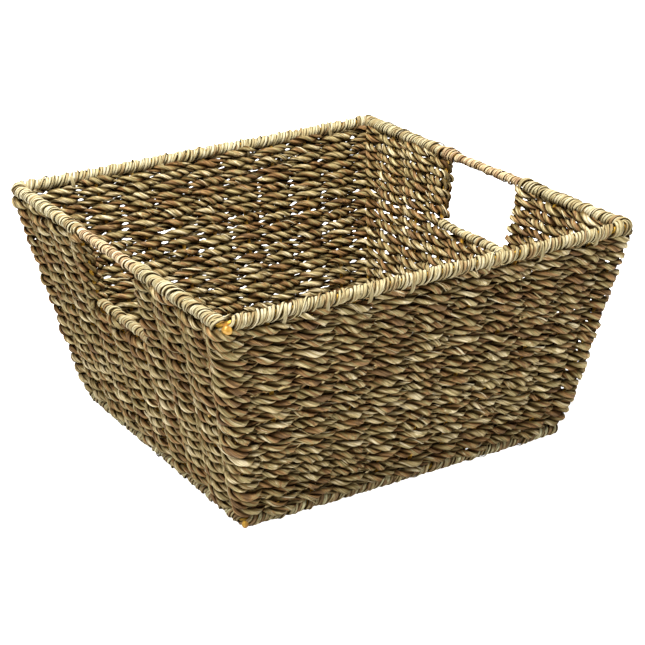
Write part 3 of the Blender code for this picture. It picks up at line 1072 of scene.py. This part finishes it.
def seagrass(name, stops, gain=1.0):
    """Dry grass blades lying along a strand: patches of colour, fine streaks, flecks and sheen."""
    nodes = Nodes(name)
    grain = nodes.attribute("grain", "Vector")
    tone = nodes.attribute("tone")
    shade = nodes.attribute("shade")
    shift = nodes.maths("MULTIPLY", tone, 3.7)
    patches = nodes.noise(nodes.stretch(grain, PATCHES, shift), 1.0, 2.0, 0.6)
    streaks = nodes.noise(nodes.stretch(grain, STREAKS, shift), 1.0, 2.0, 0.6)
    flecks = nodes.noise(nodes.stretch(grain, FLECKS, shift), 1.0, 2.0, 0.55)
    lean = nodes.maths("MULTIPLY", nodes.maths("SUBTRACT", tone, 0.5), 0.17)
    picked = nodes.maths("ADD", patches, lean)
    colour = nodes.ramp(nodes.spread(picked, 0.32, 0.68, 0.0, 1.0), stops)
    light = nodes.spread(streaks, 0.33, 0.68, 0.68, 1.36)
    light = nodes.maths("MULTIPLY", light, nodes.spread(flecks, 0.35, 0.7, 0.86, 1.12))
    # Painted shade: the shade attribute darkens the colour where less light would come, and below
    # it also dims the specular.
    light = nodes.maths("MULTIPLY", light, shade)
    # gain makes the whole material lighter or darker; on the copies of the pale palette this is
    # painted light.
    light = nodes.maths("MULTIPLY", light, gain)
    colour = nodes.tinted(colour, light, FADING)
    nodes.bump(nodes.maths("ADD", streaks, nodes.maths("MULTIPLY", flecks, 0.35)), 0.75, 0.0004)
    return nodes.finish(
        Base_Color=colour,
        Roughness=nodes.spread(streaks, 0.3, 0.7, 0.72, 0.48),
        Specular_IOR_Level=nodes.maths("MULTIPLY", shade, 0.2),
    )


def gold_wire(name, gain=1.0):
    """Yellow-gold lacquer on steel wire, uneven and a little scuffed."""
    nodes = Nodes(name)
    place = nodes.tree.nodes.new("ShaderNodeTexCoord").outputs["Object"]
    coat = nodes.noise(place, 160.0, 3.0)
    scuff = nodes.noise(place, 900.0, 2.0)
    stops = [(0.3, (0.46, 0.22, 0.03)), (0.55, (0.78, 0.44, 0.05)), (0.8, (0.90, 0.58, 0.12))]
    nodes.bump(nodes.maths("ADD", coat, nodes.maths("MULTIPLY", scuff, 0.3)), 0.3, 0.0003)
    return nodes.finish(
        Base_Color=nodes.tinted(nodes.ramp(coat, stops), gain),
        Roughness=nodes.spread(scuff, 0.3, 0.7, 0.28, 0.5),
        Metallic=0.35,
        Coat_Weight=0.3,
    )


# Colours of dry seagrass, from the darkest patches to the palest.
ROPE_STOPS = [
    (0.00, (0.163, 0.094, 0.039)),
    (0.18, (0.297, 0.160, 0.061)),
    (0.34, (0.367, 0.238, 0.099)),
    (0.46, (0.246, 0.196, 0.084)),
    (0.60, (0.310, 0.257, 0.118)),
    (0.76, (0.399, 0.311, 0.145)),
    (0.90, (0.514, 0.414, 0.223)),
    (1.00, (0.604, 0.520, 0.329)),
]
PALE_STOPS = [
    (0.00, (0.227, 0.146, 0.063)),
    (0.30, (0.319, 0.256, 0.122)),
    (0.60, (0.381, 0.328, 0.180)),
    (1.00, (0.496, 0.434, 0.281)),
]
TAN_STOPS = [
    (0.00, (0.280, 0.173, 0.092)),
    (0.35, (0.438, 0.313, 0.167)),
    (0.70, (0.556, 0.436, 0.257)),
    (1.00, (0.690, 0.578, 0.381)),
]
TAN_GREEN_STOPS = [
    (0.00, (0.180, 0.108, 0.046)),
    (0.35, (0.315, 0.245, 0.115)),
    (0.70, (0.383, 0.342, 0.185)),
    (1.00, (0.556, 0.504, 0.289)),
]


def make_materials():
    return {
        "rope": seagrass("twisted_seagrass_rope", ROPE_STOPS),
        # The pale strands share one palette; their gains are painted light: the back rim's copy
        # lighter, the sills' lighter, the front rim's and the ties' a little darker.
        "front_pale": seagrass("front_pale_seagrass_strand", PALE_STOPS, 0.98),
        "back_pale": seagrass("back_pale_seagrass_strand", PALE_STOPS, 1.16),
        "sill": seagrass("sill_seagrass_strand", PALE_STOPS, 1.1),
        "tan": seagrass("tan_seagrass_strand", TAN_STOPS),
        "tan_green": seagrass("tan_green_seagrass_strand", TAN_GREEN_STOPS, 1.2),
        "gold": gold_wire("gold_lacquered_wire"),
        "weld": gold_wire("gold_lacquered_weld", 0.75),
    }


def paint_wires():
    """The frame's wires keep their CAD shape and get the gold lacquer."""
    for name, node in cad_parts.items():
        if not node.hide_render:
            node.data.materials.clear()
            node.data.materials.append(MATERIALS["gold"])
            node.data.shade_smooth()


# ---- floor, light and camera ----

# The view: angles in degrees, lens and sensor in millimetres, places in metres.
VIEW_AZIMUTH = -29.45
VIEW_ELEVATION = 21.92
VIEW_ROLL = -2.17
VIEW_DISTANCE = 1.3745
VIEW_ASIDE = 0.0059
VIEW_RAISED = 0.0671
VIEW_LENS = 98.72
VIEW_SENSOR = 36.0


def aim_camera():
    azimuth = math.radians(VIEW_AZIMUTH)
    elevation = math.radians(VIEW_ELEVATION)
    roll = math.radians(VIEW_ROLL)
    aside = math.sin(azimuth) * math.cos(elevation)
    behind = -math.cos(azimuth) * math.cos(elevation)
    back = Vector((aside, behind, math.sin(elevation)))
    level_right = Vector((math.cos(azimuth), math.sin(azimuth), 0))
    level_up = back.cross(level_right)
    right = level_right * math.cos(roll) + level_up * math.sin(roll)
    up = level_up * math.cos(roll) - level_right * math.sin(roll)
    place = right * VIEW_ASIDE + up * VIEW_RAISED + back * VIEW_DISTANCE
    data = bpy.data.cameras.new("camera")
    data.lens = VIEW_LENS
    data.sensor_width = VIEW_SENSOR
    camera = bpy.data.objects.new("camera", data)
    turned = Matrix((right, up, back)).transposed().to_4x4()
    turned.translation = place + Vector((0, 0, HOOP_Z))
    camera.matrix_world = turned
    bpy.context.scene.collection.objects.link(camera)
    bpy.context.scene.camera = camera


def soft_light(name, place, aim, size, power, colour):
    data = bpy.data.lights.new(name, "AREA")
    data.shape = "DISK"
    data.size = size
    data.energy = power
    data.color = colour
    light = bpy.data.objects.new(name, data)
    light.location = place
    light.rotation_euler = (Vector(aim) - Vector(place)).to_track_quat("-Z", "Y").to_euler()
    bpy.context.scene.collection.objects.link(light)


def for_camera(tree, others, seen, socket):
    """Gives the socket one value for what the camera sees and another for the light it sheds."""
    rays = tree.nodes.new("ShaderNodeLightPath")
    choose = tree.nodes.new("ShaderNodeMapRange")
    choose.inputs["To Min"].default_value = others
    choose.inputs["To Max"].default_value = seen
    tree.links.new(rays.outputs["Is Camera Ray"], choose.inputs["Value"])
    tree.links.new(choose.outputs[0], socket)


def light_studio():
    middle = (0, 0, RIM_Z / 2)
    soft_light("key_light", (-1.0, -0.9, 1.7), middle, 0.5, 32, (1.0, 0.985, 0.96))
    soft_light("top_light", (-0.2, -0.12, 1.25), middle, 0.35, 31, (1.0, 0.99, 0.97))
    soft_light("fill_light", (1.5, -1.2, 0.8), middle, 1.2, 7, (1.0, 1.0, 1.0))
    world = bpy.data.worlds.new("studio")
    world.use_nodes = True
    background = world.node_tree.nodes["Background"]
    background.inputs["Color"].default_value = (1.0, 1.0, 1.0, 1.0)
    for_camera(world.node_tree, 0.27, 1.0, background.inputs["Strength"])
    bpy.context.scene.world = world
    bpy.context.scene.view_settings.view_transform = "Standard"


def lay_floor():
    half = 4.0
    mesh = bpy.data.meshes.new("studio_floor")
    corners = [(-half, -half, 0), (half, -half, 0), (half, half, 0), (-half, half, 0)]
    mesh.from_pydata(corners, [], [(0, 1, 2, 3)])
    floor = bpy.data.objects.new("studio_floor", mesh)
    material = bpy.data.materials.new("pale_floor")
    material.use_nodes = True
    shader = material.node_tree.nodes["Principled BSDF"]
    shader.inputs["Base Color"].default_value = (0.92, 0.92, 0.91, 1.0)
    shader.inputs["Roughness"].default_value = 0.8
    shader.inputs["Emission Color"].default_value = (1.0, 1.0, 1.0, 1.0)
    for_camera(material.node_tree, 0.0, 1.2, shader.inputs["Emission Strength"])
    mesh.materials.append(material)
    bpy.context.scene.collection.objects.link(floor)


# ---- all of it ----

MATERIALS = make_materials()
make_loop_ropes()
make_panel_ropes()
make_floor_rope()
make_rim_windings()
make_rim_ties()
make_weld_beads()
make_grip_windings()
make_sill_windings()
make_base_windings()
paint_wires()
light_studio()
lay_floor()
aim_camera()
